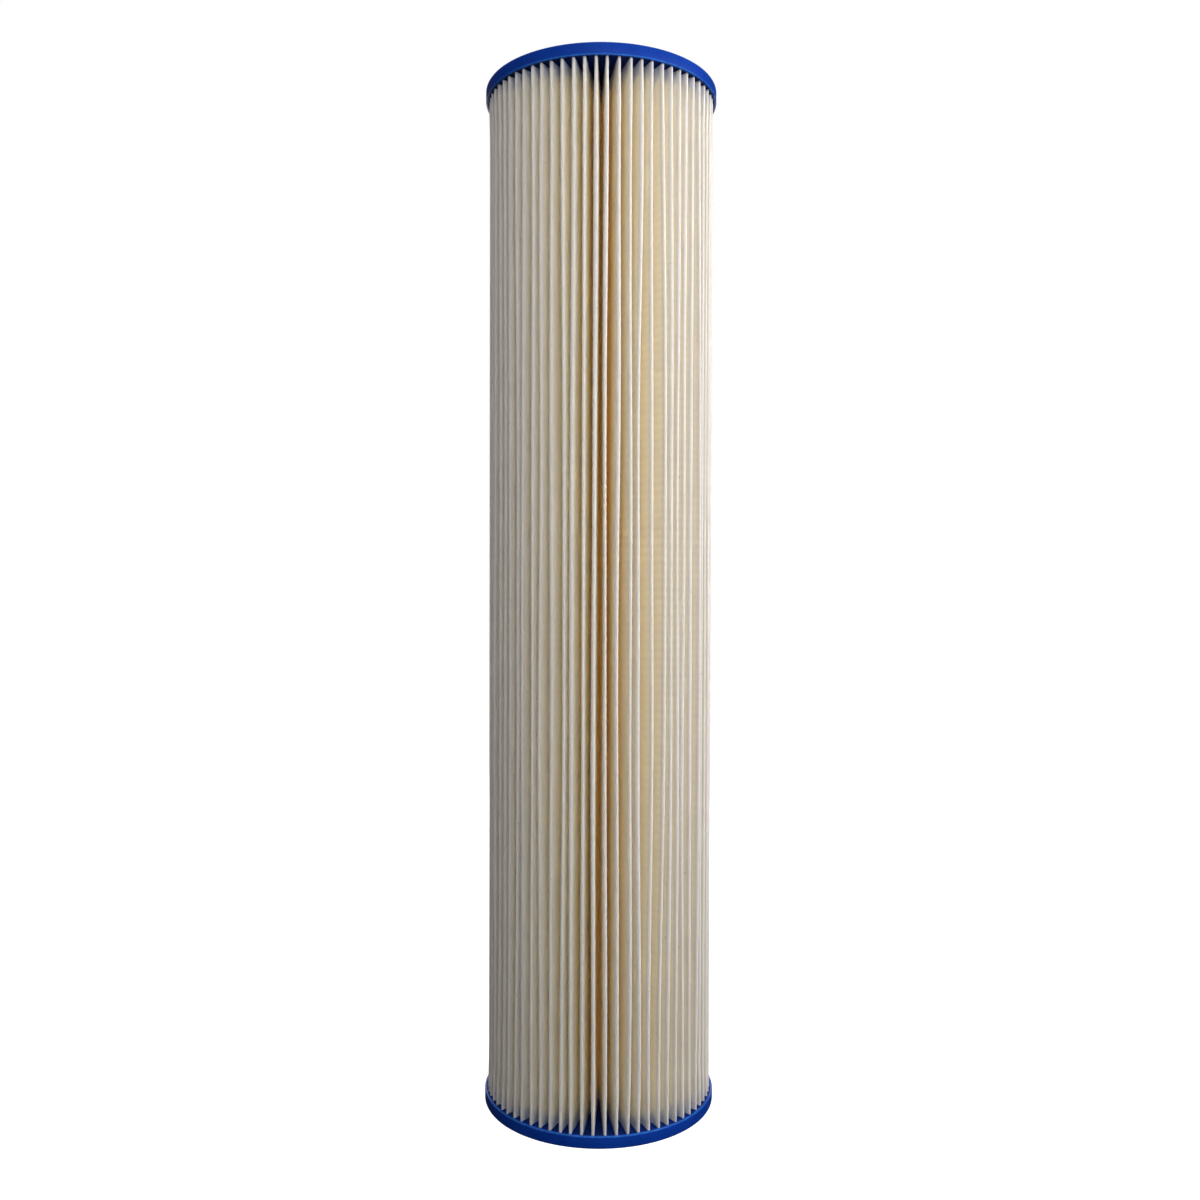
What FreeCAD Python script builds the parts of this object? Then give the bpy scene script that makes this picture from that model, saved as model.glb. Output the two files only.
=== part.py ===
import FreeCAD, Part
import math
import os

import Sketcher
from FreeCAD import Placement, Rotation, Vector

# Pleated water filter cartridge, open at both ends.
#
# Frame: millimetres, origin at the centre of the lower end face, +Z up the cartridge's axis.
# Each end is a cast cap that holds the pleats and the core in one piece, with a flat gasket
# let into its outer face round the bore. Everything upside down at the top is the same piece
# turned half round the X axis.
#
# Every driving size is a cell of the sheet "sizes". All lengths are in millimetres.

SIZES = [
    ("overall_length", 508.0, "outer face to outer face"),
    ("cap_radius", 58.0, "end cap, outside"),
    ("cap_height", 6.0, "end cap rim, along the axis"),
    ("cap_bore_radius", 14.0, "hole through each end cap"),
    ("lip_width", 1.2, "thin standing edge round the pleat side of a cap"),
    ("lip_height", 0.6, "how far that edge stands above the cast surface"),
    ("rim_fillet", 0.8, "outer corners of a cap"),
    ("bore_fillet", 0.4, "mouth of a cap's bore"),
    ("cap_floor", 2.4, "cap left under the ends of the pleats and the core"),
    ("recess_rim", 8.0, "flat rim of a cap's outer face, outside the shallow ring sunk in it"),
    ("recess_land", 5.0, "flat part of the same face, between that ring and the gasket"),
    ("recess_depth", 0.6, "the same ring, how deep"),
    ("gasket_land", 2.0, "cap left between its bore and the gasket"),
    ("gasket_width", 9.0, "gasket ring, across"),
    ("gasket_thickness", 1.6, "gasket, and the depth of its seat"),
    ("pleat_count", 66, "pleats round the cartridge"),
    ("tip_clearance", 0.3, "from the pleat tips to the caps' standing edge"),
    ("sheet_thickness", 0.5, "filter sheet"),
    ("tip_bend", 0.2, "inside bend radius of an outer fold"),
    ("valley_bend", 0.2, "inside bend radius of an inner fold"),
    ("seam_depth", 8.0, "adhesive between the sheet's two ends, radially"),
    ("core_step", 1.0, "how far the core tube's inside stands back from the caps' bore"),
    ("core_wall", 2.0, "core tube wall"),
    ("core_end_band", 14.0, "plain tube left at each end of a core section"),
    ("window_width", 9.0, "core window, across"),
    ("window_height", 9.0, "core window, along the axis"),
    ("window_columns", 8, "core windows round the tube"),
    ("window_rows", 18, "core windows along one section"),
    ("coupling_wall", 1.2, "sleeve over the joint of the two core sections"),
    ("coupling_length", 22.0, "the same sleeve, along the axis"),
    ("coupling_stop", 1.5, "rib inside the sleeve that the two sections meet"),
    ("pleat_clearance", 0.4, "from the sleeve to the inner folds"),
    ("fold_gap", 0.1, "least gap between two inner folds side by side"),
]

# Sizes that follow from the sheet, as expressions for the objects that use them.
CAST_SURFACE = "(sizes.cap_height - sizes.lip_height)"
GASKET_INNER = "(sizes.cap_bore_radius + sizes.gasket_land)"
GASKET_OUTER = "(sizes.cap_bore_radius + sizes.gasket_land + sizes.gasket_width)"
RECESS_INNER = "(%s + sizes.recess_land)" % GASKET_OUTER
RECESS_OUTER = "(sizes.cap_radius - sizes.recess_rim)"
CORE_INNER = "(sizes.cap_bore_radius + sizes.core_step)"
CORE_OUTER = "(%s + sizes.core_wall)" % CORE_INNER
COUPLING_OUTER = "(%s + sizes.coupling_wall)" % CORE_OUTER
SECTION_LENGTH = "(sizes.overall_length / 2 - sizes.cap_floor - sizes.coupling_stop / 2)"
WINDOW_RUN = "(%s - 2 * sizes.core_end_band - sizes.window_height)" % SECTION_LENGTH

FULL_TURN = 360.0
BACK = math.pi / 2

doc = FreeCAD.newDocument("filter_cartridge")


def make_sheet():
    sheet = doc.addObject("Spreadsheet::Sheet", "sizes")
    for row, (alias, value, meaning) in enumerate(SIZES, start=1):
        sheet.set("A%d" % row, alias)
        sheet.set("B%d" % row, str(value))
        sheet.set("C%d" % row, meaning)
        sheet.setAlias("B%d" % row, alias)
    doc.recompute()
    return sheet


sizes = make_sheet()


def size(alias):
    return float(getattr(sizes, alias))


def evaluated(expression):
    """An expression's value now. None stands for a point on the axis."""
    return 0.0 if expression is None else float(sizes.evalExpression(expression))


# ---------------------------------------------------------------- sketches and features

def new_body(label):
    body = doc.addObject("PartDesign::Body", label)
    body.Label = label
    return body


def origin_feature(body, role):
    return next(item for item in body.Origin.OriginFeatures if item.Role == role)


def new_sketch(body, name, plane):
    sketch = body.newObject("Sketcher::SketchObject", name)
    sketch.AttachmentSupport = [(origin_feature(body, plane), "")]
    sketch.MapMode = "FlatFace"
    return sketch


def bind(sketch, kind, geometry, expression):
    """Adds a dimension to the sketch and ties it to the sheet."""
    index = sketch.addConstraint(Sketcher.Constraint(kind, *geometry, evaluated(expression)))
    sketch.setExpression("Constraints[%d]" % index, expression)


def outline_sketch(body, name, plane, corners):
    """A closed outline of straight lines. Each corner is a pair of expressions, and None is an axis."""
    sketch = new_sketch(body, name, plane)
    places = [Vector(evaluated(across), evaluated(along), 0) for across, along in corners]
    count = len(corners)
    for i in range(count):
        sketch.addGeometry(Part.LineSegment(places[i], places[(i + 1) % count]), False)
    for i in range(count):
        sketch.addConstraint(Sketcher.Constraint("Coincident", i, 2, (i + 1) % count, 1))
    for i, (across, along) in enumerate(corners):
        if across is None:
            sketch.addConstraint(Sketcher.Constraint("PointOnObject", i, 1, -2))
        else:
            bind(sketch, "DistanceX", (-1, 1, i, 1), across)
        if along is None:
            sketch.addConstraint(Sketcher.Constraint("PointOnObject", i, 1, -1))
        else:
            bind(sketch, "DistanceY", (-1, 1, i, 1), along)
    return sketch


def ring_sketch(body, name, inner, outer):
    """Two circles about the axis."""
    sketch = new_sketch(body, name, "XY_Plane")
    for i, radius in enumerate((outer, inner)):
        circle = Part.Circle(Vector(0, 0, 0), Vector(0, 0, 1), evaluated(radius))
        sketch.addGeometry(circle, False)
        sketch.addConstraint(Sketcher.Constraint("Coincident", i, 3, -1, 1))
        bind(sketch, "Radius", (i,), radius)
    return sketch


def pad(body, name, sketch, length):
    feature = body.newObject("PartDesign::Pad", name)
    feature.Profile = sketch
    feature.setExpression("Length", length)
    doc.recompute()
    return feature


def turn_about_axis(body, kind, name, sketch):
    """A full Revolution or Groove of the sketch about its upright axis."""
    feature = body.newObject("PartDesign::" + kind, name)
    feature.Profile = sketch
    feature.ReferenceAxis = (sketch, ["V_Axis"])
    feature.Angle = FULL_TURN
    doc.recompute()
    return feature


def round_edges(body, name, places, radius):
    """Fillets the circular edges at the given pairs of radius and height."""
    base = body.Tip
    names = []
    for i, edge in enumerate(base.Shape.Edges, start=1):
        if not isinstance(edge.Curve, Part.Circle):
            continue
        here = (edge.Curve.Radius, edge.Curve.Center.z)
        if any(math.dist(here, place) < 1e-4 for place in places):
            names.append("Edge%d" % i)
    feature = body.newObject("PartDesign::Fillet", name)
    feature.Base = (base, names)
    feature.setExpression("Radius", radius)
    doc.recompute()
    return feature


def turn_upside_down(body, height="sizes.overall_length"):
    """Turns a piece made for the lower end to the upper end, its own origin at the given height."""
    body.Placement = Placement(Vector(0, 0, 0), Rotation(Vector(1, 0, 0), 180))
    body.setExpression("Placement.Base.z", height)


# ---------------------------------------------------------------- filter sheet

def polar(radius, angle, height=0.0):
    return Vector(radius * math.cos(angle), radius * math.sin(angle), height)


def mirrored(point, angle):
    """The point on the other side of the radial line at this angle."""
    along = polar(1, angle)
    return along * (2 * point.dot(along)) - point


def media_radius():
    """The outside of the pleat tips."""
    return size("cap_radius") - size("lip_width") - size("tip_clearance")


def room_for_folds(fold_width):
    """The radius of the ring on which all the inner folds fit side by side."""
    return size("pleat_count") * (fold_width + size("fold_gap")) / (2 * math.pi)


class Pleat:
    """One pleat's fold centres and the straight leg between them, about a tip at a given angle."""

    def __init__(self, angle):
        self.angle = angle
        self.valley_angle = angle + math.pi / size("pleat_count")
        half_sheet = size("sheet_thickness") / 2
        self.tip_radius = size("tip_bend") + half_sheet
        self.valley_radius = size("valley_bend") + half_sheet
        self.tip_centre_radius = media_radius() - half_sheet - self.tip_radius
        clear_of_core = evaluated(COUPLING_OUTER) + size("pleat_clearance")
        self.valley_centre_radius = max(
            clear_of_core + half_sheet + self.valley_radius,
            room_for_folds(2 * (self.valley_radius + half_sheet)),
        )
        self.tip_centre = polar(self.tip_centre_radius, angle)
        self.valley_centre = polar(self.valley_centre_radius, self.valley_angle)
        self.across = self.leg_normal()

    def leg_normal(self):
        """The leg touches both folds on opposite sides, so it is an inner tangent of two circles."""
        span = self.valley_centre - self.tip_centre
        turn = math.acos((self.tip_radius + self.valley_radius) / span.Length)
        return Rotation(Vector(0, 0, 1), -math.degrees(turn)).multVec(span.normalize())

    def leg(self, side):
        """The leg's two ends, side being how far out of the sheet's middle the surface lies."""
        top = self.tip_centre + self.across * (self.tip_radius + side)
        bottom = self.valley_centre - self.across * (self.valley_radius - side)
        return top, bottom

    def tip_arc(self, side):
        end = self.leg(side)[0]
        middle = polar(self.tip_centre_radius + self.tip_radius + side, self.angle)
        return Part.Arc(mirrored(end, self.angle), middle, end)

    def valley_arc(self, side):
        start = self.leg(side)[1]
        middle = polar(self.valley_centre_radius - self.valley_radius + side, self.valley_angle)
        return Part.Arc(start, middle, mirrored(start, self.valley_angle))


def pleats():
    """Every pleat in order round the cartridge. The first is the open one, where the sheet ends,
    and it stands half a pleat past the back."""
    step = 2 * math.pi / size("pleat_count")
    return [Pleat(BACK + (i + 0.5) * step) for i in range(int(size("pleat_count")))]


def surface_edges(side):
    """One face of the sheet, from end to end, as edges."""
    edges = []
    for i, pleat in enumerate(pleats()):
        top, bottom = pleat.leg(side)
        if i > 0:
            edges.append(pleat.tip_arc(side).toShape())
        edges.append(Part.LineSegment(top, bottom).toShape())
        edges.append(pleat.valley_arc(side).toShape())
        next_bottom = mirrored(bottom, pleat.valley_angle)
        next_top = mirrored(top, pleat.valley_angle)
        edges.append(Part.LineSegment(next_bottom, next_top).toShape())
    return edges


def first_point(edges):
    return edges[0].Vertexes[0].Point


def last_point(edges):
    return edges[-1].Vertexes[-1].Point


def media_length():
    return size("overall_length") - 2 * size("cap_floor")


def extruded_feature(label, edges):
    """A closed outline drawn out from the lower cap's floor to the upper cap's."""
    face = Part.Face(Part.Wire(edges))
    feature = doc.addObject("Part::Feature", label)
    feature.Label = label
    feature.Shape = face.extrude(Vector(0, 0, media_length()))
    feature.Placement = Placement(Vector(0, 0, size("cap_floor")), Rotation())
    return feature


def make_media():
    half_sheet = size("sheet_thickness") / 2
    outside = surface_edges(half_sheet)
    inside = surface_edges(-half_sheet)
    start_edge = Part.LineSegment(first_point(inside), first_point(outside)).toShape()
    end_edge = Part.LineSegment(last_point(outside), last_point(inside)).toShape()
    edges = [start_edge] + outside + [end_edge] + inside[::-1]
    return extruded_feature("pleated_media", edges)


def make_seam_bead():
    """Adhesive between the two ends of the sheet, which face each other in one open pleat."""
    pleat = pleats()[0]
    top, bottom = pleat.leg(-size("sheet_thickness") / 2)
    inner = top + (bottom - top).normalize() * size("seam_depth")
    other_top = mirrored(top, pleat.angle)
    other_inner = mirrored(inner, pleat.angle)
    crown = pleat.tip_centre + polar(size("tip_bend"), pleat.angle)
    edges = [
        Part.LineSegment(top, inner).toShape(),
        Part.LineSegment(inner, other_inner).toShape(),
        Part.LineSegment(other_inner, other_top).toShape(),
        Part.Arc(other_top, crown, top).toShape(),
    ]
    return extruded_feature("side_seam_bead", edges)


# ---------------------------------------------------------------- core

def make_core_section(label):
    """A moulded tube with rows of windows, from the cap's floor to the joint at mid-length."""
    body = new_body(label)
    pad(body, label + "_tube", ring_sketch(body, label + "_ring", CORE_INNER, CORE_OUTER), SECTION_LENGTH)
    solid_volume = body.Shape.Volume

    half_width = "sizes.window_width / 2"
    low = "sizes.core_end_band"
    high = "sizes.core_end_band + sizes.window_height"
    corners = [("-" + half_width, low), (half_width, low), (half_width, high), ("-" + half_width, high)]
    sketch = outline_sketch(body, label + "_window", "XZ_Plane", corners)
    window = body.newObject("PartDesign::Pocket", label + "_first_window")
    window.Profile = sketch
    window.setExpression("Length", "2 * " + CORE_OUTER)
    doc.recompute()
    assert body.Shape.Volume < solid_volume, "the window cuts nothing"

    upwards = body.newObject("PartDesign::LinearPattern", label + "_rows")
    upwards.Direction = (origin_feature(body, "Z_Axis"), [""])
    upwards.setExpression("Length", WINDOW_RUN)
    upwards.setExpression("Occurrences", "sizes.window_rows")
    around = body.newObject("PartDesign::PolarPattern", label + "_columns")
    around.Axis = (origin_feature(body, "Z_Axis"), [""])
    around.Angle = FULL_TURN
    around.setExpression("Occurrences", "sizes.window_columns")
    windows = body.newObject("PartDesign::MultiTransform", label + "_windows")
    windows.Originals = [window]
    windows.Transformations = [upwards, around]
    body.Tip = windows
    body.setExpression("Placement.Base.z", "sizes.cap_floor")
    doc.recompute()
    return body


def make_coupling():
    """A sleeve over the two core sections' meeting ends, with a rib between them."""
    body = new_body("core_coupling")
    half_length = "sizes.coupling_length / 2"
    half_stop = "sizes.coupling_stop / 2"
    corners = [
        (CORE_INNER, "-" + half_stop),
        (CORE_OUTER, "-" + half_stop),
        (CORE_OUTER, "-" + half_length),
        (COUPLING_OUTER, "-" + half_length),
        (COUPLING_OUTER, half_length),
        (CORE_OUTER, half_length),
        (CORE_OUTER, half_stop),
        (CORE_INNER, half_stop),
    ]
    sketch = outline_sketch(body, "coupling_profile", "XZ_Plane", corners)
    turn_about_axis(body, "Revolution", "coupling_sleeve", sketch)
    body.setExpression("Placement.Base.z", "sizes.overall_length / 2")
    return body


# ---------------------------------------------------------------- gaskets and end caps

def make_gasket(label):
    body = new_body(label)
    ring = ring_sketch(body, label + "_ring", GASKET_INNER, GASKET_OUTER)
    pad(body, label + "_disc", ring, "sizes.gasket_thickness")
    return body


def make_cap_blank(label):
    """A cap as the mould shapes it, before the pleats and the core take up their room in it."""
    body = new_body(label)
    bore = "sizes.cap_bore_radius"
    lip_inner = "(sizes.cap_radius - sizes.lip_width)"
    corners = [
        (bore, None),
        ("sizes.cap_radius", None),
        ("sizes.cap_radius", "sizes.cap_height"),
        (lip_inner, "sizes.cap_height"),
        (lip_inner, CAST_SURFACE),
        (bore, CAST_SURFACE),
    ]
    disc = outline_sketch(body, label + "_profile", "XZ_Plane", corners)
    turn_about_axis(body, "Revolution", label + "_disc", disc)

    sink_ring(body, label + "_gasket_seat", GASKET_INNER, GASKET_OUTER, "sizes.gasket_thickness")
    sink_ring(body, label + "_recess", RECESS_INNER, RECESS_OUTER, "sizes.recess_depth")

    outer = size("cap_radius")
    round_edges(body, label + "_rim_corners", [(outer, 0), (outer, size("cap_height"))],
                "min(sizes.rim_fillet; sizes.lip_width * 0.7)")
    round_edges(body, label + "_bore_mouth", [(size("cap_bore_radius"), 0)], "sizes.bore_fillet")
    return body


def sink_ring(body, name, inner, outer, depth):
    """Cuts a ring of rectangular section into the cap's outer face."""
    volume = body.Shape.Volume
    corners = [(inner, None), (outer, None), (outer, depth), (inner, depth)]
    sketch = outline_sketch(body, name + "_profile", "XZ_Plane", corners)
    turn_about_axis(body, "Groove", name, sketch)
    assert body.Shape.Volume < volume, name + " cuts nothing"


def cast_cap(label, blank, held):
    """The cap that is left once each held piece has taken its room out of the blank."""
    cap = blank
    for tool in held:
        cut = doc.addObject("Part::Cut", "%s_round_%s" % (label, tool.Label))
        cut.Base = cap
        cut.Tool = tool
        cap = cut
    cap.Label = label
    return cap


# ---------------------------------------------------------------- assembly

media = make_media()
seam_bead = make_seam_bead()

core_lower = make_core_section("core_lower_section")
core_upper = make_core_section("core_upper_section")
turn_upside_down(core_upper, "sizes.overall_length - sizes.cap_floor")
coupling = make_coupling()

lower_gasket = make_gasket("lower_gasket")
upper_gasket = make_gasket("upper_gasket")
turn_upside_down(upper_gasket)

lower_blank = make_cap_blank("lower_cap_blank")
upper_blank = make_cap_blank("upper_cap_blank")
turn_upside_down(upper_blank)
doc.recompute()

lower_cap = cast_cap("lower_end_cap", lower_blank, [core_lower, seam_bead, media])
upper_cap = cast_cap("upper_end_cap", upper_blank, [core_upper, seam_bead, media])
doc.recompute()

NODES = [lower_cap, upper_cap, lower_gasket, upper_gasket, media, seam_bead,
         core_lower, core_upper, coupling]


# ---------------------------------------------------------------- checks and files

def check_document():
    for item in doc.Objects:
        for state in ("Invalid", "Error"):
            if state in item.State:
                raise RuntimeError("%s is %s" % (item.Label, state))
    for node in NODES:
        if node.Shape.isNull() or not node.Shape.isValid():
            raise RuntimeError("%s has no sound shape" % node.Label)
        if len(node.Shape.Solids) != 1:
            raise RuntimeError("%s has %d solids" % (node.Label, len(node.Shape.Solids)))


check_document()
os.makedirs("parts", exist_ok=True)
for node in NODES:
    node.Shape.exportStep("parts/%s.step" % node.Label)
    box = node.Shape.BoundBox
    print("%-20s volume %10.1f  z %7.2f to %7.2f  radius %6.2f"
          % (node.Label, node.Shape.Volume, box.ZMin, box.ZMax, box.XMax))
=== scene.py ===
import math

import bpy
import numpy as np
from mathutils import Matrix, Vector


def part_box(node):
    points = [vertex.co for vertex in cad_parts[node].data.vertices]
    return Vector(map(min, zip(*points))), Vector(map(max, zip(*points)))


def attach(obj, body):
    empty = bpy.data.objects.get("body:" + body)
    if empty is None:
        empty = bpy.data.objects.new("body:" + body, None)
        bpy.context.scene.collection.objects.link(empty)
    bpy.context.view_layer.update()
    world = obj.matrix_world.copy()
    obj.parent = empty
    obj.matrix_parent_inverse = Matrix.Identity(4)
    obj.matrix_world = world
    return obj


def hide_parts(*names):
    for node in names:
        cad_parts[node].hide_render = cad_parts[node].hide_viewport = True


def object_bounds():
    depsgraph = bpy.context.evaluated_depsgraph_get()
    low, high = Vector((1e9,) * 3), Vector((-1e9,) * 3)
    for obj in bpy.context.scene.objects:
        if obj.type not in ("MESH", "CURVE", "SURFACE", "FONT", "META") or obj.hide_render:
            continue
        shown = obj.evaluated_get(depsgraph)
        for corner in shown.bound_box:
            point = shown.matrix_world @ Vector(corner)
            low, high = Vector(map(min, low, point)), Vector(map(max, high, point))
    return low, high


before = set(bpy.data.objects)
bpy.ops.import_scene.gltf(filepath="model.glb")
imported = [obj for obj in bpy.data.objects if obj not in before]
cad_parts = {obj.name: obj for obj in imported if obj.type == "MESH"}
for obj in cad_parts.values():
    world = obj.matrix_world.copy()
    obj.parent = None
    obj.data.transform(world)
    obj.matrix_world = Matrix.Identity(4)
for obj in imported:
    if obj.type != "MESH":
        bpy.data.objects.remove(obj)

# Pleated filter cartridge. Metres, +Z up the cartridge's axis, front towards -Y.
# The folded sheet, the cast caps, the gaskets and the adhesive are built here as meshes in place of
# their CAD nodes. The core's two sections and its sleeve keep their CAD meshes.

MM = 0.001
FULL_TURN = 2 * math.pi


def corners_of_model():
    """The whole model's box as plain lists of numbers."""
    return [[float(value) for value in corner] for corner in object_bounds()]


cad_box = corners_of_model()

# ---------------------------------------------------------------- sizes taken from the CAD nodes

MEDIA_LOW, MEDIA_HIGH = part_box("pleated_media")
_, CAP_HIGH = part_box("lower_end_cap")
_, GASKET_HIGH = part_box("lower_gasket")
_, SLEEVE_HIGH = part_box("core_coupling")
LENGTH = cad_box[1][2]

SHEET_BOTTOM = MEDIA_LOW[2]
SHEET_TOP = MEDIA_HIGH[2]
TIP_RADIUS = MEDIA_HIGH[0]
CAP_RADIUS = CAP_HIGH[0]
CAP_HEIGHT = CAP_HIGH[2]
GASKET_RADIUS = GASKET_HIGH[0]
GASKET_THICKNESS = GASKET_HIGH[2]
SLEEVE_RADIUS = SLEEVE_HIGH[0]

# ---------------------------------------------------------------- the caps' own sizes

BORE_RADIUS = 14 * MM
LIP_WIDTH = 1.2 * MM
LIP_HEIGHT = 0.6 * MM
GASKET_WIDTH = 9 * MM
RECESS_INNER = 30 * MM
RECESS_OUTER = 50 * MM
RECESS_DEPTH = 0.6 * MM
RIM_BEND = 0.8 * MM
LIP_BEND = 0.45 * MM
SMALL_BEND = 0.3 * MM
BORE_BEND = 0.4 * MM
RECESS_EDGE_BEND = 0.25 * MM
INNER_CORNER_BEND = 0.2 * MM
BEND_STEPS = 5
CAST_SURFACE = CAP_HEIGHT - LIP_HEIGHT
CAST_RINGS = 30
CAST_SWELL = 0.12 * MM
CAST_WAVES = 6
CAST_WAVE_NUMBERS = (60, 200)
MENISCUS = 0.4 * MM
MENISCUS_REACH = 0.55 * MM
GASKET_SLACK = 0.04 * MM
GASKET_SEGMENTS = 256

# ---------------------------------------------------------------- the folded sheet's own sizes

PLEATS = 66
CAP_SEGMENTS = PLEATS * 12
PANELS = 6
BACK = math.pi / 2
HALF_SHEET = 0.25 * MM
VALLEY_BEND = 0.45 * MM
VALLEY_FOLLOW = 0.25
SLEEVE_GAP = 0.4 * MM
VALLEY_RING = SLEEVE_RADIUS + SLEEVE_GAP + HALF_SHEET + VALLEY_BEND

LEVELS = 490
INNER_STRIDE = 10
WAVE_STEPS = 4
WAVE_LENGTH = WAVE_STEPS * (SHEET_TOP - SHEET_BOTTOM) / LEVELS
WAVE_HEIGHT = 0.095 * MM
CREST_WAVE = 0.25
WAVE_SHARE = (0.45, 1.0)
WAVE_SHARE_AT_ENDS = 0.3

TIP_POINTS = 7
LEG_FRACTIONS = np.array([0.12, 0.36, 0.70])
LEG_WAVES = np.array([1.0, 0.8, 0.4])
VALLEY_POINTS = 3
PLEAT_POINTS = 2 * len(LEG_FRACTIONS) + VALLEY_POINTS + TIP_POINTS

PINCHED_TIP = 0.42 * MM
OPEN_TIP = (0.48 * MM, 0.85 * MM)
OPENING_RUN = 24 * MM
SHOULDER_HEIGHT = 17 * MM
SHOULDER_RUN = 9 * MM
SHOULDER_SWELL = 0.28 * MM
TIP_SWELL = 0.1 * MM
BUMPS = 40
BUMP_PLACES = (0.1, 0.9)
BUMP_SWELL = (0.1 * MM, 0.3 * MM)
BUMP_RUN = 0.012
LEAN = math.radians(1.35)
MEAN_LEAN = math.radians(0.5)
SWAY = math.radians(0.30)
SHIVER = math.radians(0.14)
CAST_JITTER = math.radians(0.3)
CREST_DIP = 0.45 * MM
LEAST_DIP_SHARE = 0.1
LEG_BOW = 0.12 * MM
LEAST_GAP = 1.1 * MM
SPREADING_ROUNDS = 40
PHASE_DRIFT = 0.35

SHARP_ANGLE = math.radians(50)
SHEET_SHARP_ANGLE = math.radians(70)

# ---------------------------------------------------------------- the adhesive's own sizes

BEAD_OVERLAP = 0.05 * MM
BEAD_DEPTH = 8 * MM
BEAD_ARC_POINTS = 9
BEAD_WAVES = (7, 16, 37, 71)
BEAD_UNEVENNESS = 0.35
BEAD_TAIL_SHARE = 0.75

# ---------------------------------------------------------------- seeds of the random draws

# Nothing in the photo picks them: another seed gives crests that lean elsewhere.
SHEET_SEED = 1
CASTING_SEED = 7


def smooth_step(value):
    value = np.clip(value, 0.0, 1.0)
    return value * value * (3 - 2 * value)


def unit(angle):
    return np.exp(1j * angle)


def angle_about(direction, reference):
    """Signed angle from the reference direction, between minus and plus half a turn."""
    return np.angle(direction / reference)


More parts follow.
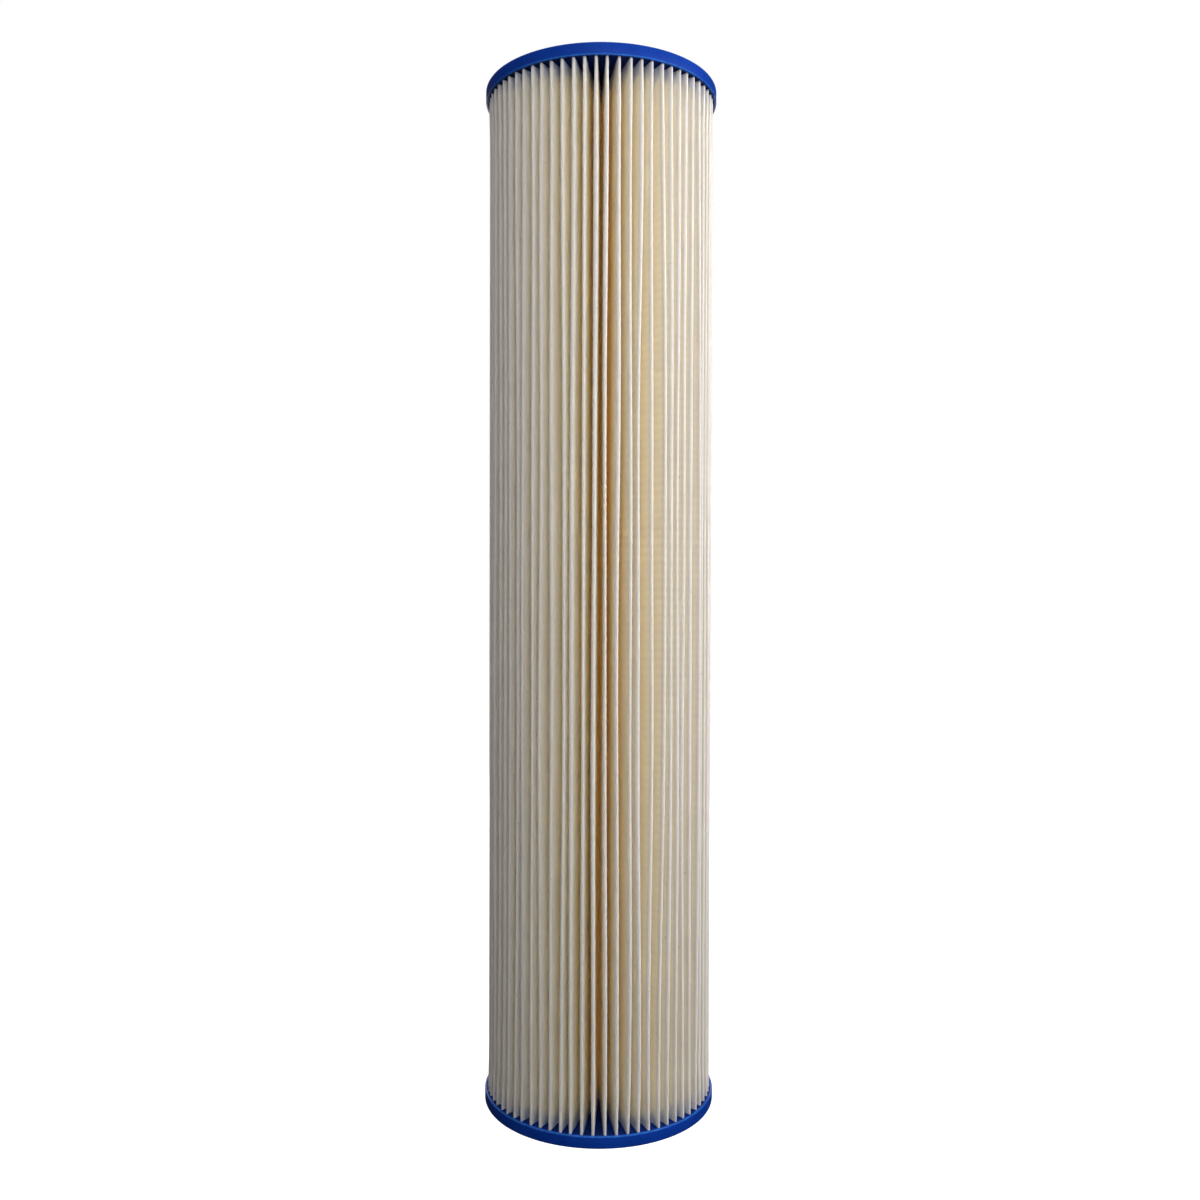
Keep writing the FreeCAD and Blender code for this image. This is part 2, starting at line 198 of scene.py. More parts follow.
class FoldedSheet:
    """One sheet folded round the core. Places across the axis are complex numbers, x + iy.

    Arrays run [height, pleat]. The sheet's two ends meet at the crest of pleat 0, round the
    adhesive."""

    def __init__(self, seed):
        rng = np.random.RandomState(seed)
        self.lean = LEAN * rng.normal(0, 1, PLEATS) + MEAN_LEAN
        self.sway = SWAY * rng.normal(0, 1, PLEATS)
        self.shiver = SHIVER * rng.normal(0, 1, (3, PLEATS))
        self.low_jitter = CAST_JITTER * rng.uniform(-1, 1, PLEATS)
        self.high_jitter = CAST_JITTER * rng.uniform(-1, 1, PLEATS)
        self.open_tip = rng.uniform(*OPEN_TIP, PLEATS)
        self.tip_swell = TIP_SWELL * rng.normal(0, 1, (3, PLEATS))
        self.shoulders = SHOULDER_SWELL * rng.uniform(0, 1, (2, PLEATS))
        self.dip = CREST_DIP * rng.uniform(LEAST_DIP_SHARE, 1, PLEATS)
        self.bow = LEG_BOW * rng.normal(0, 1, (2, 2, PLEATS))
        self.phase = np.cumsum(rng.normal(0, PHASE_DRIFT, PLEATS))
        self.bumps = [(rng.randint(PLEATS), rng.uniform(*BUMP_PLACES), rng.uniform(*BUMP_SWELL))
                      for _ in range(BUMPS)]
        self.wave_share = rng.uniform(*WAVE_SHARE, PLEATS)
        self.rest_angle = BACK + (np.arange(PLEATS) + 0.5) * FULL_TURN / PLEATS

    def place(self, heights):
        """Works out every fold at these heights."""
        level = np.asarray(heights)[:, None]
        along = (level - SHEET_BOTTOM) / (SHEET_TOP - SHEET_BOTTOM)
        from_low = level - CAST_SURFACE
        from_high = LENGTH - CAST_SURFACE - level
        opened = smooth_step(np.minimum(from_low, from_high) / OPENING_RUN)

        self.tip_bend = PINCHED_TIP + (self.open_tip - PINCHED_TIP) * opened
        for order, swell in enumerate(self.tip_swell, start=2):
            self.tip_bend = self.tip_bend + swell * opened * np.sin(order * math.pi * along)
        for distance, shoulder in zip((from_low, from_high), self.shoulders):
            hump = np.exp(-((distance - SHOULDER_HEIGHT) / SHOULDER_RUN) ** 2)
            self.tip_bend = self.tip_bend + shoulder * hump * opened
        for pleat, where, swell in self.bumps:
            hump = np.exp(-((along[:, 0] - where) / BUMP_RUN) ** 2)
            self.tip_bend[:, pleat] += swell * hump * opened[:, 0]
        self.tip_bend = np.maximum(self.tip_bend, PINCHED_TIP)

        wander = self.lean * np.sin(math.pi * along) + self.sway * np.sin(2 * math.pi * along)
        for order, shiver in enumerate(self.shiver, start=3):
            wander = wander + shiver * np.sin(order * math.pi * along)
        jitter = self.low_jitter * (1 - along) + self.high_jitter * along
        tip_angle = self.spread(self.rest_angle + wander + jitter)
        self.tip_angle = tip_angle

        reach = TIP_RADIUS - HALF_SHEET - WAVE_HEIGHT - self.dip * opened - self.tip_bend
        next_angle = np.roll(tip_angle, -1, axis=1)
        next_angle[:, -1] += FULL_TURN
        rest_valley = self.rest_angle + math.pi / PLEATS
        middle_angle = (tip_angle + next_angle) / 2
        self.valley_angle = (1 - VALLEY_FOLLOW) * rest_valley + VALLEY_FOLLOW * middle_angle
        self.tip = reach * unit(tip_angle)
        self.valley = VALLEY_RING * unit(self.valley_angle)
        wave_share = WAVE_SHARE_AT_ENDS + (1 - WAVE_SHARE_AT_ENDS) * np.sin(math.pi * along)
        wave_height = WAVE_HEIGHT * self.wave_share * wave_share
        self.wave = wave_height * np.sin(FULL_TURN * level / WAVE_LENGTH + self.phase)
        self.bowing = [near * np.sin(math.pi * along) + far * np.sin(2 * math.pi * along)
                       for near, far in self.bow]
        self.normal_after = self.leg_normal(self.tip, self.valley, -1)
        self.normal_before = self.leg_normal(self.tip, np.roll(self.valley, 1, axis=1), 1)

    def spread(self, angles):
        """Pushes tips apart that stand closer than the least gap, in a set number of rounds."""
        width = 2 * (HALF_SHEET + WAVE_HEIGHT) + LEAST_GAP
        least = (self.tip_bend + np.roll(self.tip_bend, -1, axis=1) + width) / TIP_RADIUS
        for _ in range(SPREADING_ROUNDS):
            step = np.roll(angles, -1, axis=1) - angles
            step[:, -1] += FULL_TURN
            push = np.maximum(least - step, 0) / 2
            angles = angles - push + np.roll(push, 1, axis=1)
        return angles

    def leg_normal(self, tip, valley, turn):
        """The leg is the inner tangent of its tip's circle and its valley's circle."""
        span = valley - tip
        lean = np.arccos((self.tip_bend + VALLEY_BEND) / np.abs(span))
        return span / np.abs(span) * unit(turn * lean)

    def leg(self, normal, valley, side, bowing, swell):
        """Points down a leg from its tip, [height, pleat, point]."""
        top = self.tip + normal * (self.tip_bend + side)
        bottom = valley - normal * (VALLEY_BEND - side)
        down = LEG_FRACTIONS
        bow = bowing[..., None] * np.sin(math.pi * down) * (1 - down)
        out = swell * self.wave[..., None] * LEG_WAVES
        return top[..., None] + (bottom - top)[..., None] * down + normal[..., None] * (bow + out)

    def arc(self, centre, radius, first, last, reference, count, swell=0.0):
        """Points round a fold, from direction first to direction last. The cross waves are pressed
        low on the crest and whole at its sides."""
        start = angle_about(first, reference)[..., None]
        end = angle_about(last, reference)[..., None]
        turn = start + (end - start) * np.linspace(0, 1, count)
        waves = swell * self.wave[..., None] * (CREST_WAVE + (1 - CREST_WAVE) * np.sin(turn) ** 2)
        return centre[..., None] + (radius[..., None] + waves) * reference[..., None] * unit(turn)

    def face(self, heights, side, swell=0.0):
        """One face of the sheet from end to end, [height, station], side being its distance from
        the sheet's middle and swell the share of the cross waves it shows."""
        self.place(heights)
        bowing_after, bowing_before = self.bowing
        valley_before = np.roll(self.valley, 1, axis=1)
        after = self.leg(self.normal_after, self.valley, side, bowing_after, swell)
        before = self.leg(self.normal_before, valley_before, side, bowing_before, swell)
        tips = self.arc(self.tip, self.tip_bend + side, self.normal_before, self.normal_after,
                        unit(self.tip_angle), TIP_POINTS, swell)
        next_normal = np.roll(self.normal_before, -1, axis=1)
        valley_radius = np.full(self.valley.shape, VALLEY_BEND - side)
        valleys = self.arc(self.valley, valley_radius, -self.normal_after, -next_normal,
                           -unit(self.valley_angle), VALLEY_POINTS)
        next_before = np.roll(before[..., ::-1], -1, axis=1)
        next_tips = np.roll(tips, -1, axis=1)
        pleats = np.concatenate([after, valleys, next_before, next_tips], axis=2)
        line = pleats.reshape(len(heights), PLEATS * PLEAT_POINTS)
        last_end = PLEATS * PLEAT_POINTS - TIP_POINTS + 1
        return np.concatenate([line[:, -1:], line[:, :last_end]], axis=1)


# ---------------------------------------------------------------- meshes

def grid_faces(rows, columns, first=0, close_rows=False, close_columns=False, flip=False):
    """Quads over a grid of vertices whose numbers run along each row in turn."""
    row = np.arange(rows if close_rows else rows - 1)[:, None]
    column = np.arange(columns if close_columns else columns - 1)[None, :]
    next_row = (row + 1) % rows
    next_column = (column + 1) % columns
    quads = np.stack([
        row * columns + column,
        row * columns + next_column,
        next_row * columns + next_column,
        next_row * columns + column,
    ], axis=-1).reshape(-1, 4) + first
    return quads[:, ::-1] if flip else quads


def strip_faces(edge, other):
    """Quads between two equally long rows of vertex numbers."""
    return np.stack([edge[:-1], other[:-1], other[1:], edge[1:]], axis=-1)


def make_piece(name, points, face_groups, material, smooth_below=SHARP_ANGLE):
    """A mesh object from an array of points and arrays of faces, one array for each face size."""
    corners = np.concatenate([group.reshape(-1) for group in face_groups])
    sizes = np.concatenate([np.full(len(group), group.shape[1]) for group in face_groups])
    starts = np.concatenate([[0], np.cumsum(sizes)[:-1]])
    mesh = bpy.data.meshes.new(name)
    mesh.vertices.add(len(points))
    mesh.loops.add(len(corners))
    mesh.polygons.add(len(sizes))
    mesh.vertices.foreach_set("co", np.ascontiguousarray(points, dtype=np.float32).reshape(-1))
    mesh.polygons.foreach_set("loop_start", starts.astype(np.int32))
    mesh.loops.foreach_set("vertex_index", corners.astype(np.int32))
    mesh.update(calc_edges=True)
    mesh.validate()
    mesh.polygons.foreach_set("use_smooth", np.ones(len(mesh.polygons), dtype=bool))
    mesh.set_sharp_from_angle(angle=smooth_below)
    mesh.materials.append(material)
    piece = bpy.data.objects.new(name, mesh)
    bpy.context.scene.collection.objects.link(piece)
    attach(piece, "root")
    return piece


def raised(places, heights):
    """Points from complex places across the axis and their heights."""
    heights = np.broadcast_to(heights, places.shape)
    return np.stack([places.real, places.imag, heights], axis=-1).reshape(-1, 3)


def make_panel(number, outer, inner, outer_heights, inner_heights, material):
    """A closed stretch of the sheet between two inner folds."""
    stations = outer.shape[1]
    outer_count = outer.size
    points = np.concatenate([
        raised(outer, outer_heights[:, None]),
        raised(inner, inner_heights[:, None]),
    ])
    outer_number = np.arange(outer_count).reshape(outer.shape)
    inner_number = outer_count + np.arange(inner.size).reshape(inner.shape)
    quads = np.concatenate([
        grid_faces(len(outer_heights), stations),
        grid_faces(len(inner_heights), stations, first=outer_count, flip=True),
        strip_faces(outer_number[0], inner_number[0]),
        strip_faces(inner_number[-1], outer_number[-1]),
    ])
    start_side = side_faces(outer_number[:, 0], inner_number[:, 0])
    end_side = side_faces(outer_number[:, -1], inner_number[:, -1])[:, ::-1]
    name = "pleated_media_%d" % number
    panel = make_piece(name, points, [quads, start_side, end_side], material, SHEET_SHARP_ANGLE)
    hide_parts("pleated_media")


def side_faces(outer_edge, inner_edge):
    """Faces across the sheet's thickness, where one inner step meets several outer steps."""
    faces = []
    for step in range(len(inner_edge) - 1):
        outer_run = outer_edge[step * INNER_STRIDE:(step + 1) * INNER_STRIDE + 1]
        faces.append(np.concatenate([outer_run, inner_edge[[step + 1, step]]]))
    return np.array(faces)


def make_media(sheet, material):
    """The whole sheet as panels, cut in the middle of inner folds."""
    outer_heights = np.linspace(SHEET_BOTTOM, SHEET_TOP, LEVELS + 1)
    inner_heights = outer_heights[::INNER_STRIDE]
    outer = sheet.face(outer_heights, HALF_SHEET, swell=1.0)
    inner = sheet.face(inner_heights, -HALF_SHEET)
    middle_of_valley = 1 + len(LEG_FRACTIONS) + VALLEY_POINTS // 2
    pleats_each = PLEATS // PANELS
    last_pleats = [pleats_each * number - 1 for number in range(1, PANELS)]
    inner_cuts = [pleat * PLEAT_POINTS + middle_of_valley for pleat in last_pleats]
    cuts = [0, *inner_cuts, outer.shape[1] - 1]
    for number, (start, end) in enumerate(zip(cuts[:-1], cuts[1:]), start=1):
        run = slice(start, end + 1)
        make_panel(number, outer[:, run], inner[:, run], outer_heights, inner_heights, material)


# ---------------------------------------------------------------- turned pieces

def rounded(corners):
    """An outline's points (radius, height) from corners (radius, height, bend), each bend an arc."""
    points = []
    places = [np.array(corner[:2]) for corner in corners]
    for i, here in enumerate(places):
        bend = corners[i][2]
        if bend == 0:
            points.append(here)
            continue
        before = places[i - 1] - here
        after = places[(i + 1) % len(places)] - here
        before = before / np.linalg.norm(before)
        after = after / np.linalg.norm(after)
        middle = (before + after) / np.linalg.norm(before + after)
        half_angle = math.acos(float(before @ middle))
        centre = here + middle * bend / math.sin(half_angle)
        start = before * bend / math.tan(half_angle) + here - centre
        end = after * bend / math.tan(half_angle) + here - centre
        for share in np.linspace(0, 1, BEND_STEPS):
            spoke = start * (1 - share) + end * share
            points.append(centre + spoke * bend / np.linalg.norm(spoke))
    return np.array(points)


def turned(outline, segments):
    """Points of the outline turned about the axis, [angle, outline point]."""
    angles = np.arange(segments) * FULL_TURN / segments
    places = outline[None, :, 0] * unit(angles[:, None])
    heights = np.broadcast_to(outline[None, :, 1], places.shape).copy()
    return places, heights


def upside_down(points):
    """A lower-end piece's points mirrored to the upper end."""
    return points * (1, 1, -1) + (0, 0, LENGTH)


def cap_outline():
    """The cap's closed outline and how many of its points come before the cast surface."""
    gasket_inner = GASKET_RADIUS - GASKET_WIDTH
    lip_inner = CAP_RADIUS - LIP_WIDTH
    shell = rounded([
        (BORE_RADIUS, CAST_SURFACE, SMALL_BEND),
        (BORE_RADIUS, 0, BORE_BEND),
        (gasket_inner, 0, SMALL_BEND),
        (gasket_inner, GASKET_THICKNESS, 0),
        (GASKET_RADIUS, GASKET_THICKNESS, 0),
        (GASKET_RADIUS, 0, SMALL_BEND),
        (RECESS_INNER, 0, RECESS_EDGE_BEND),
        (RECESS_INNER, RECESS_DEPTH, INNER_CORNER_BEND),
        (RECESS_OUTER, RECESS_DEPTH, INNER_CORNER_BEND),
        (RECESS_OUTER, 0, RECESS_EDGE_BEND),
        (CAP_RADIUS, 0, RIM_BEND),
        (CAP_RADIUS, CAP_HEIGHT, LIP_BEND),
        (lip_inner, CAP_HEIGHT, SMALL_BEND),
        (lip_inner, CAST_SURFACE, INNER_CORNER_BEND),
    ])
    cast_radii = np.linspace(shell[-1][0], BORE_RADIUS + SMALL_BEND, CAST_RINGS + 1)[1:-1]
    cast = np.stack([cast_radii, np.full(len(cast_radii), CAST_SURFACE)], axis=-1)
    return np.concatenate([shell, cast]), len(shell)


def distance_to_line(places, line):
    """Least distance from each place to a line of straight stretches."""
    start = line[:-1]
    step = line[1:] - start
    offset = places[:, None] - start
    share = np.clip((offset * step.conj()).real / np.abs(step) ** 2, 0, 1)
    return np.abs(offset - share * step).min(axis=1)


def cast_swell(places, sheet_line, rng):
    """How far the cast surface stands off flat: long waves, and it climbs where it wets the sheet."""
    swell = np.zeros(places.shape)
    for _ in range(CAST_WAVES):
        wave_vector = rng.uniform(*CAST_WAVE_NUMBERS) * unit(rng.uniform(0, FULL_TURN))
        swell += np.sin((places * wave_vector.conj()).real + rng.uniform(0, FULL_TURN))
    swell *= CAST_SWELL / CAST_WAVES
    for column in range(places.shape[1]):
        near = distance_to_line(places[:, column], sheet_line) - HALF_SHEET
        swell[:, column] += MENISCUS * np.exp(-np.maximum(near, 0) / MENISCUS_REACH)
    return swell


def make_turned(name, places, heights, material, upper):
    """A turned piece of the lower end, or its mirror image at the upper end."""
    points = raised(places, heights)
    if upper:
        points = upside_down(points)
    faces = grid_faces(*places.shape, close_rows=True, close_columns=True, flip=not upper)
    return make_piece(name, points, [faces], material)


def make_cap(name, sheet, rng, material, upper=False):
    """A cast cap, its surface between the pleats uneven."""
    outline, shell_points = cap_outline()
    places, heights = turned(outline, CAP_SEGMENTS)
    level = LENGTH - CAST_SURFACE if upper else CAST_SURFACE
    sheet_line = sheet.face([level], 0.0)[0]
    cast = np.s_[:, shell_points:]
    heights[cast] += cast_swell(places[cast], sheet_line, rng)
    cap = make_turned(name + "_shell", places, heights, material, upper)
    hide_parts(name)


def make_gasket(name, material, upper=False):
    """A flat gasket ring, with a little slack in its seat."""
    inner = GASKET_RADIUS - GASKET_WIDTH + GASKET_SLACK
    outer = GASKET_RADIUS - GASKET_SLACK
    top = GASKET_THICKNESS - GASKET_SLACK
    outline = rounded([
        (inner, top, SMALL_BEND),
        (inner, 0, SMALL_BEND),
        (outer, 0, SMALL_BEND),
        (outer, top, SMALL_BEND),
    ])
    places, heights = turned(outline, GASKET_SEGMENTS)
    ring = make_turned(name + "_ring", places, heights, material, upper)
    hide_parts(name)


# ---------------------------------------------------------------- seam adhesive

def make_seam_bead(sheet, rng, material):
    """Hot melt squeezed between the two ends of the sheet, standing a little proud and uneven."""
    heights = np.linspace(SHEET_BOTTOM, SHEET_TOP, LEVELS // 2 + 1)
    sheet.place(heights)
    centre = sheet.tip[:, 0]
    outward = unit(sheet.tip_angle[:, 0])
    half_gap = sheet.tip_bend[:, 0] - HALF_SHEET + BEAD_OVERLAP
    uneven = np.zeros(len(heights))
    for order in BEAD_WAVES:
        uneven += np.sin(order * math.pi * heights / LENGTH + rng.uniform(0, FULL_TURN))
    crown = half_gap * (1 + BEAD_UNEVENNESS * uneven / len(BEAD_WAVES))
    half_circle = np.linspace(0, math.pi, BEAD_ARC_POINTS)
    across = np.cos(half_circle)
    up = np.sin(half_circle)
    arc = crown[:, None] * up + 1j * half_gap[:, None] * across
    inner_half = BEAD_TAIL_SHARE * half_gap
    tail = np.stack([-BEAD_DEPTH - 1j * inner_half, -BEAD_DEPTH + 1j * inner_half], axis=-1)
    section = np.concatenate([arc, tail], axis=1)
    places = centre[:, None] + outward[:, None] * section
    points = raised(places, heights[:, None])
    body = grid_faces(*places.shape, close_columns=True, flip=True)
    numbers = np.arange(places.size).reshape(places.shape)
    ends = np.stack([numbers[0], numbers[-1][::-1]])
    bead = make_piece("side_seam_adhesive", points, [body, ends], material)
    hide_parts("side_seam_bead")


# ---------------------------------------------------------------- material helpers

NOISE_ROUGHNESS = 0.55


class Surface:
    """A material's node tree, with short calls for the nodes used here."""

    def __init__(self, name):
        self.material = bpy.data.materials.new(name)
        self.material.use_nodes = True
        self.tree = self.material.node_tree
        self.tree.nodes.clear()
        output = self.tree.nodes.new("ShaderNodeOutputMaterial")
        self.shader = self.tree.nodes.new("ShaderNodeBsdfPrincipled")
        self.tree.links.new(self.shader.outputs["BSDF"], output.inputs["Surface"])
        coordinates = self.tree.nodes.new("ShaderNodeTexCoord")
        self.position = coordinates.outputs["Object"]

    def feed(self, value, socket):
        if isinstance(value, bpy.types.NodeSocket):
            self.tree.links.new(value, socket)
        else:
            socket.default_value = value

    def set(self, **values):
        """Feeds the shader's sockets, a name's underscores standing for spaces."""
        for name, value in values.items():
            self.feed(value, self.shader.inputs[name.replace("_", " ")])

    def math(self, operation, first, second=0.0):
        node = self.tree.nodes.new("ShaderNodeMath")
        node.operation = operation
        self.feed(first, node.inputs[0])
        self.feed(second, node.inputs[1])
        return node.outputs[0]

    def range(self, value, low, high, to_low=0.0, to_high=1.0):
        """A smooth step of the value from low to high."""
        node = self.tree.nodes.new("ShaderNodeMapRange")
        node.interpolation_type = "SMOOTHSTEP"
        self.feed(value, node.inputs["Value"])
        self.feed(low, node.inputs["From Min"])
        self.feed(high, node.inputs["From Max"])
        self.feed(to_low, node.inputs["To Min"])
        self.feed(to_high, node.inputs["To Max"])
        return node.outputs["Result"]

    def stretched(self, scale):
        node = self.tree.nodes.new("ShaderNodeMapping")
        self.feed(self.position, node.inputs["Vector"])
        node.inputs["Scale"].default_value = scale
        return node.outputs["Vector"]

    def noise(self, scale, detail, vector=None):
        node = self.tree.nodes.new("ShaderNodeTexNoise")
        self.feed(vector or self.position, node.inputs["Vector"])
        node.inputs["Scale"].default_value = scale
        node.inputs["Detail"].default_value = detail
        node.inputs["Roughness"].default_value = NOISE_ROUGHNESS
        return node.outputs["Fac"]

    def mix(self, factor, first, second):
        node = self.tree.nodes.new("ShaderNodeMix")
        node.data_type = "RGBA"
        self.feed(factor, node.inputs["Factor"])
        self.feed(first, node.inputs[6])
        self.feed(second, node.inputs[7])
        return node.outputs[2]

    def radius_and_height(self):
        node = self.tree.nodes.new("ShaderNodeSeparateXYZ")
        self.feed(self.position, node.inputs[0])
        x_squared = self.math("MULTIPLY", node.outputs["X"], node.outputs["X"])
        y_squared = self.math("MULTIPLY", node.outputs["Y"], node.outputs["Y"])
        return self.math("SQRT", self.math("ADD", x_squared, y_squared)), node.outputs["Z"]

    def from_nearer_end(self, height):
        return self.math("MINIMUM", height, self.math("SUBTRACT", LENGTH, height))

    def bump(self, height, strength, distance, below=None):
        node = self.tree.nodes.new("ShaderNodeBump")
        node.inputs["Strength"].default_value = strength
        node.inputs["Distance"].default_value = distance
        self.feed(height, node.inputs["Height"])
        if below:
            self.feed(below, node.inputs["Normal"])
        return node.outputs["Normal"]


def paper():
    """Resin-bonded filter sheet: matte, fibrous, with painted warm bounce light down in the folds,
    painted shade greying the crests, and darker and bluer near the caps, partly vinyl that has wicked
    into the sheet and partly painted shade and blue reflection of the caps."""
    flank = (0.945, 0.89, 0.68, 1)
    # painted warm bounce light: ochre standing for light bounced about down in the folds
    painted_fold_glow = (0.98, 0.77, 0.22, 1)
    cloudy = (0.945, 0.88, 0.70, 1)
    fibre = (0.74, 0.64, 0.45, 1)
    # painted shade: grey laid over the crests to tone down the light on them
    painted_crest_shade = (0.65, 0.62, 0.59, 1)
    # darker blue near the caps: partly vinyl wicked into the sheet, partly painted shade and blue
    # reflection of the caps
    soak_and_shade_blue = (0.22, 0.30, 0.52, 1)
    brown = (0.35, 0.27, 0.18, 1)

    s = Surface("filter_sheet")
    radius, height = s.radius_and_height()
    from_end = s.from_nearer_end(height)
    # painted warm bounce light, stronger further down into the folds
    painted_glow_depth = s.range(radius, TIP_RADIUS - 7 * MM, TIP_RADIUS - 24 * MM)
    crest = s.range(radius, TIP_RADIUS - 3.0 * MM, TIP_RADIUS - 1.2 * MM)
    clouds = s.noise(55, 3)
    fibres = s.noise(1500, 4, vector=s.stretched((1, 1, 0.35)))
    tufts = s.noise(420, 3)
    specks = s.range(s.noise(330, 1), 0.76, 0.80)
    # darker and bluer near the caps, less on the crests: partly vinyl wicked into the sheet, partly
    # painted shade and blue reflection of the caps
    soak_and_painted_shade = s.math("ADD", from_end, s.math("MULTIPLY", s.noise(140, 3), -8 * MM))
    soak_and_painted_shade = s.range(soak_and_painted_shade, 11 * MM, CAP_HEIGHT - 4 * MM, 0.0, 0.9)
    soak_and_painted_shade = s.math("MULTIPLY", soak_and_painted_shade, s.range(crest, 0.0, 1.0, 1.0, 0.35))

    # painted warm bounce light down in the folds
    colour = s.mix(painted_glow_depth, flank, painted_fold_glow)
    colour = s.mix(s.range(clouds, 0.35, 0.7, 0.0, 0.35), colour, cloudy)
    colour = s.mix(s.range(fibres, 0.3, 0.8, 0.0, 0.15), colour, fibre)
    # painted shade greying the crests
    colour = s.mix(s.math("MULTIPLY", crest, 0.8), colour, painted_crest_shade)
    # partly vinyl wicked into the sheet, partly painted shade and blue reflection of the caps
    colour = s.mix(soak_and_painted_shade, colour, soak_and_shade_blue)
    colour = s.mix(s.math("MULTIPLY", specks, 0.35), colour, brown)

    fine = s.bump(fibres, 0.25, 0.12 * MM)
    s.set(
        Base_Color=colour,
        Normal=s.bump(tufts, 0.12, 0.25 * MM, fine),
        Roughness=s.range(tufts, 0.2, 0.8, 0.72, 0.92),
        Specular_IOR_Level=0.25,
        Subsurface_Weight=0.85,
        Subsurface_Radius=(1.0, 1.0, 0.9),
        Subsurface_Scale=4.5 * MM,
        Sheen_Weight=0.12,
        Sheen_Roughness=0.6,
    )
    return s.material


def vinyl():
    """Cast vinyl: satin, clouded, finely pitted, with painted shade on the cast surface between the
    pleats and a painted highlight along the rim's edges."""
    dark_blue = (0.0025, 0.030, 0.25, 1)
    blue = (0.0035, 0.037, 0.30, 1)
    # painted shade: near-black blue for the cast surface between the pleats
    painted_shade_blue = (0.0015, 0.012, 0.10, 1)
    # painted highlight: paler blue for light caught along the rim's edges
    painted_highlight_blue = (0.03, 0.17, 0.60, 1)

    s = Surface("cast_vinyl")
    radius, height = s.radius_and_height()
    from_end = s.from_nearer_end(height)
    clouds = s.noise(70, 4)
    scuffs = s.noise(500, 4, vector=s.stretched((1, 1, 2.5)))
    pits = s.noise(1600, 2)
    # painted highlight along the lip and the rim's outer corner, broken up by the scuff noise
    lip = s.range(from_end, CAP_HEIGHT - 0.9 * MM, CAP_HEIGHT - 0.3 * MM)
    corner = s.range(from_end, 0.7 * MM, 0.1 * MM)
    outer = s.range(radius, CAP_RADIUS - 1.1 * MM, CAP_RADIUS - 0.3 * MM)
    edge = s.math("MULTIPLY", s.math("MAXIMUM", lip, corner), outer)
    painted_edge_highlight = s.math("MULTIPLY", edge, s.range(scuffs, 0.35, 0.65, 0.25, 0.65))
    # painted shade on the cast surface between the pleats, inside the lip
    inside = s.range(radius, CAP_RADIUS - 1.1 * MM, CAP_RADIUS - 1.4 * MM)
    near_cast = s.range(from_end, CAST_SURFACE - 1.5 * MM, CAST_SURFACE - 0.5 * MM)
    cast = s.math("MULTIPLY", near_cast, inside)

    colour = s.mix(s.range(clouds, 0.3, 0.7), dark_blue, blue)
    # painted shade between the pleats
    colour = s.mix(s.math("MULTIPLY", cast, 0.75), colour, painted_shade_blue)
    # painted highlight along the rim's edges
    colour = s.mix(painted_edge_highlight, colour, painted_highlight_blue)

    fine = s.bump(pits, 0.12, 0.08 * MM)
    s.set(
        Base_Color=colour,
        Normal=s.bump(scuffs, 0.15, 0.1 * MM, fine),
        Roughness=s.range(scuffs, 0.3, 0.75, 0.36, 0.52),
        Specular_IOR_Level=0.07,
    )
    return s.material


def rubber():
    """Moulded elastomer: near black, matte, dusty in patches."""
    black = (0.018, 0.018, 0.020, 1)
    dusty = (0.07, 0.068, 0.065, 1)

    s = Surface("gasket_rubber")
    dust = s.noise(160, 4)
    grain = s.noise(1800, 3)
    s.set(
        Base_Color=s.mix(s.range(dust, 0.45, 0.8, 0.0, 0.5), black, dusty),
        Normal=s.bump(grain, 0.3, 0.08 * MM),
        Roughness=s.range(dust, 0.3, 0.8, 0.55, 0.8),
    )
    return s.material


def polypropylene():
    """Moulded natural polypropylene: milky, satin, faint flow clouds."""
    milky = (0.74, 0.74, 0.70, 1)
    pale = (0.84, 0.84, 0.81, 1)

    s = Surface("core_polypropylene")
    flow = s.noise(40, 3, vector=s.stretched((1, 1, 0.3)))
    grain = s.noise(1300, 2)
    s.set(
        Base_Color=s.mix(s.range(flow, 0.3, 0.7), milky, pale),
        Normal=s.bump(grain, 0.15, 0.06 * MM),
        Roughness=s.range(flow, 0.3, 0.7, 0.34, 0.48),
    )
    return s.material


def hot_melt():
    """Set hot-melt adhesive: amber cream, glossier than the sheet, lumpy."""
    amber = (0.78, 0.68, 0.46, 1)
    cream = (0.86, 0.79, 0.60, 1)

    s = Surface("hot_melt_adhesive")
    lumps = s.noise(260, 3)
    clouds = s.noise(60, 2)
    s.set(
        Base_Color=s.mix(s.range(clouds, 0.3, 0.7), amber, cream),
        Normal=s.bump(lumps, 0.5, 0.2 * MM),
        Roughness=s.range(lumps, 0.3, 0.7, 0.3, 0.5),
    )
    return s.material


# ---------------------------------------------------------------- stage, light and camera

FLOOR_HALF = 3.0
FLOOR_LEVEL = -0.05 * MM
GLOW_BELOW = 0.02
GLOW_ABOVE = 0.08
GLOW_SPAN = 0.8

# Azimuth in degrees and power in watts of the soft panels beside the cartridge.
SIDE_PANELS = ((-60, 0.38), (-32, 0.25), (26, 1.0), (48, 1.9), (74, 3.5))
AIM_SHARE = 0.6

# The camera was fitted to the outlines of the caps and the sheet in the photo.
SENSOR_MM = 36
LENS_MM = 33.48
CLIP_START = 0.01
CAMERA_PLACE = (-0.0025, -0.5693, 0.2619)
CAMERA_TURN = -0.0045
CAMERA_NOD = -0.0157
CAMERA_ROLL = 0.0027


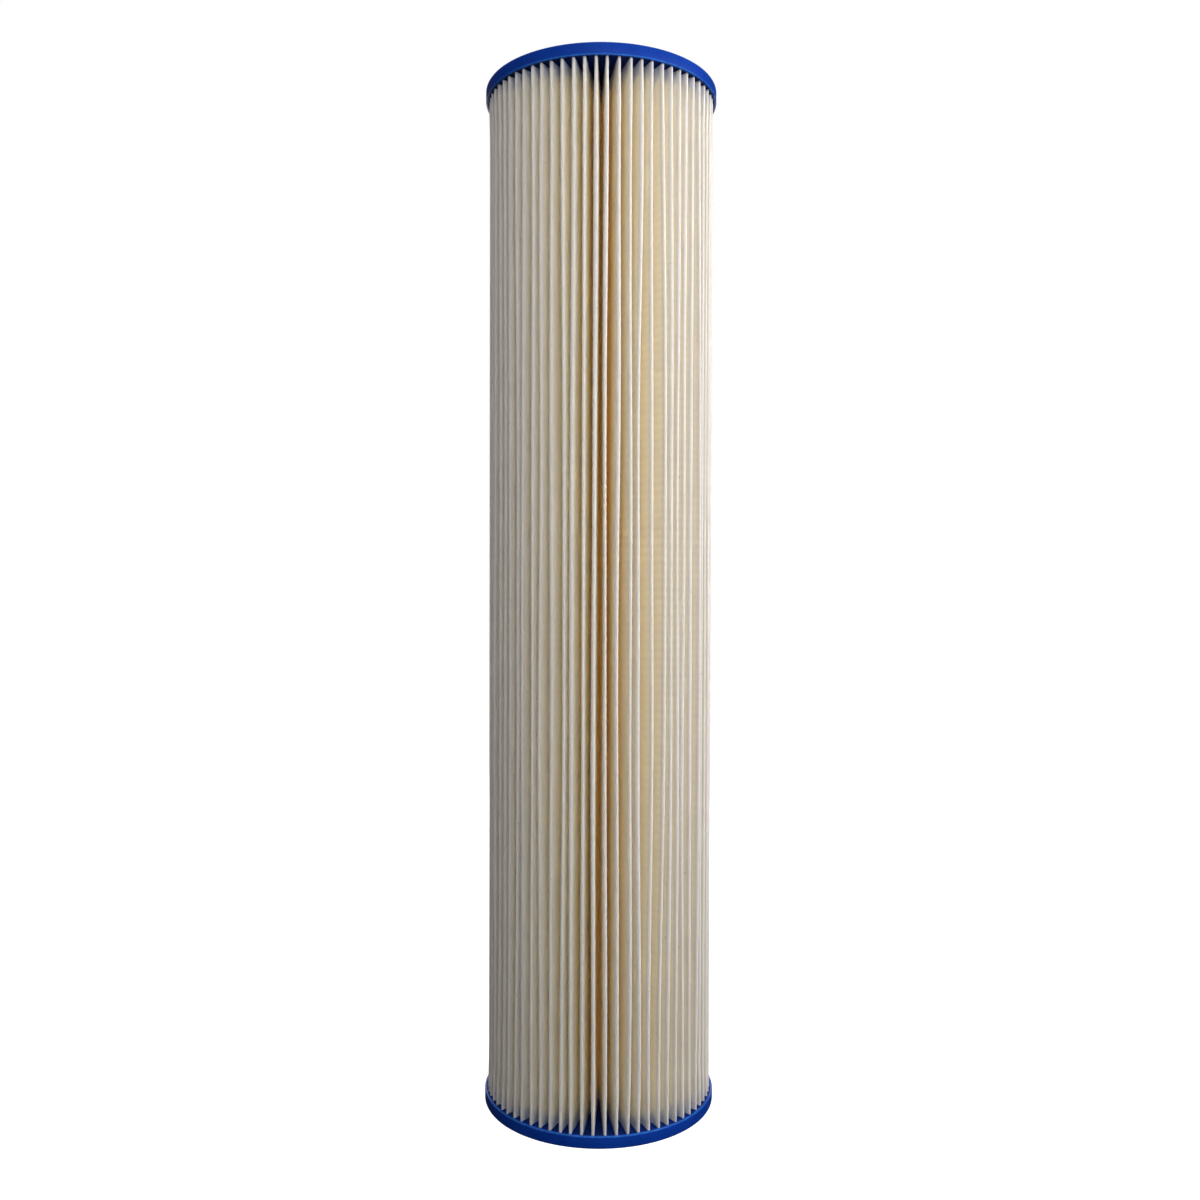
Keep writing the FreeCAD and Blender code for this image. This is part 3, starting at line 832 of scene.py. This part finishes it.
def make_floor():
    """A plain white floor that glows, so that it shows no shadow, and lights nothing."""
    corners = ((-1, -1), (1, -1), (1, 1), (-1, 1))
    points = [(x * FLOOR_HALF, y * FLOOR_HALF, FLOOR_LEVEL) for x, y in corners]
    mesh = bpy.data.meshes.new("floor")
    mesh.from_pydata(points, [], [(0, 1, 2, 3)])
    floor = bpy.data.objects.new("floor", mesh)
    bpy.context.scene.collection.objects.link(floor)
    s = Surface("floor_white")
    s.set(
        Base_Color=(0.5, 0.5, 0.5, 1),
        Roughness=0.9,
        Emission_Color=(1, 1, 1, 1),
        Emission_Strength=1.0,
    )
    floor.data.materials.append(s.material)
    floor.visible_diffuse = False
    floor.visible_glossy = False


def make_world():
    """White to the eye. As light it is faint, brighter above and darker below."""
    world = bpy.data.worlds.new("studio")
    bpy.context.scene.world = world
    world.use_nodes = True
    tree = world.node_tree
    tree.nodes.clear()
    output = tree.nodes.new("ShaderNodeOutputWorld")
    seen = tree.nodes.new("ShaderNodeBackground")
    light = tree.nodes.new("ShaderNodeBackground")
    chooser = tree.nodes.new("ShaderNodeMixShader")
    path = tree.nodes.new("ShaderNodeLightPath")
    coordinates = tree.nodes.new("ShaderNodeTexCoord")
    split = tree.nodes.new("ShaderNodeSeparateXYZ")
    lift = tree.nodes.new("ShaderNodeMapRange")
    tree.links.new(coordinates.outputs["Generated"], split.inputs[0])
    tree.links.new(split.outputs["Z"], lift.inputs["Value"])
    lift.inputs["From Min"].default_value = -GLOW_SPAN
    lift.inputs["From Max"].default_value = GLOW_SPAN
    lift.inputs["To Min"].default_value = GLOW_BELOW
    lift.inputs["To Max"].default_value = GLOW_ABOVE
    light.inputs["Color"].default_value = (1.0, 0.97, 0.95, 1)
    seen.inputs["Color"].default_value = (1, 1, 1, 1)
    tree.links.new(lift.outputs["Result"], light.inputs["Strength"])
    tree.links.new(path.outputs["Is Camera Ray"], chooser.inputs[0])
    tree.links.new(light.outputs[0], chooser.inputs[1])
    tree.links.new(seen.outputs[0], chooser.inputs[2])
    tree.links.new(chooser.outputs[0], output.inputs["Surface"])


def make_lamp(name, azimuth, distance, height, size, power, colour):
    """A soft panel lamp aimed at the cartridge, its azimuth counted from the front towards +X."""
    data = bpy.data.lights.new(name, "AREA")
    data.shape = "RECTANGLE"
    data.size, data.size_y = size
    data.energy = power
    data.color = colour
    lamp = bpy.data.objects.new(name, data)
    turn = math.radians(azimuth)
    place = Vector((distance * math.sin(turn), -distance * math.cos(turn), height))
    aim = Vector((0, 0, LENGTH * AIM_SHARE)) - place
    facing = aim.to_track_quat("-Z", "Y").to_matrix().to_4x4()
    lamp.matrix_world = Matrix.Translation(place) @ facing
    lamp.visible_camera = False
    bpy.context.scene.collection.objects.link(lamp)


def make_lamps():
    """Soft panels beside, before, above and behind the cartridge."""
    for number, (azimuth, power) in enumerate(SIDE_PANELS, start=1):
        make_lamp("side_panel_%d" % number, azimuth=azimuth, distance=0.7, height=0.50,
                  size=(0.4, 0.35), power=power, colour=(1.0, 0.965, 0.925))
    make_lamp("front_panel", azimuth=3, distance=0.8, height=0.52,
              size=(0.3, 0.4), power=3.3, colour=(1.0, 0.965, 0.92))
    make_lamp("top_panel", azimuth=0, distance=0.15, height=1.3,
              size=(0.6, 0.6), power=2.0, colour=(1.0, 0.97, 0.94))
    make_lamp("back_panel", azimuth=185, distance=0.9, height=0.50,
              size=(0.9, 0.5), power=10, colour=(1.0, 0.97, 0.94))


def make_camera():
    data = bpy.data.cameras.new("camera")
    data.sensor_width = SENSOR_MM
    data.lens = LENS_MM
    data.clip_start = CLIP_START
    camera = bpy.data.objects.new("camera", data)
    turn = Matrix.Rotation(CAMERA_TURN, 4, "Z")
    nod = Matrix.Rotation(math.pi / 2 + CAMERA_NOD, 4, "X")
    roll = Matrix.Rotation(CAMERA_ROLL, 4, "Z")
    camera.matrix_world = Matrix.Translation(Vector(CAMERA_PLACE)) @ turn @ nod @ roll
    bpy.context.scene.collection.objects.link(camera)
    bpy.context.scene.camera = camera


# ---------------------------------------------------------------- the whole

make_camera()
make_world()
make_floor()
make_lamps()
bpy.context.scene.view_settings.view_transform = "Standard"
bpy.context.scene.cycles.diffuse_bounces = 12
bpy.context.scene.cycles.max_bounces = 16

cap_material = vinyl()
core_material = polypropylene()
gasket_material = rubber()

sheet = FoldedSheet(seed=SHEET_SEED)
make_media(sheet, paper())
casting = np.random.RandomState(CASTING_SEED)
make_cap("lower_end_cap", sheet, casting, cap_material)
make_cap("upper_end_cap", sheet, casting, cap_material, upper=True)
make_gasket("lower_gasket", gasket_material)
make_gasket("upper_gasket", gasket_material, upper=True)
make_seam_bead(sheet, casting, hot_melt())

for node in ("core_lower_section", "core_upper_section", "core_coupling"):
    core_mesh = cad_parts[node].data
    core_mesh.materials.clear()
    core_mesh.materials.append(core_material)
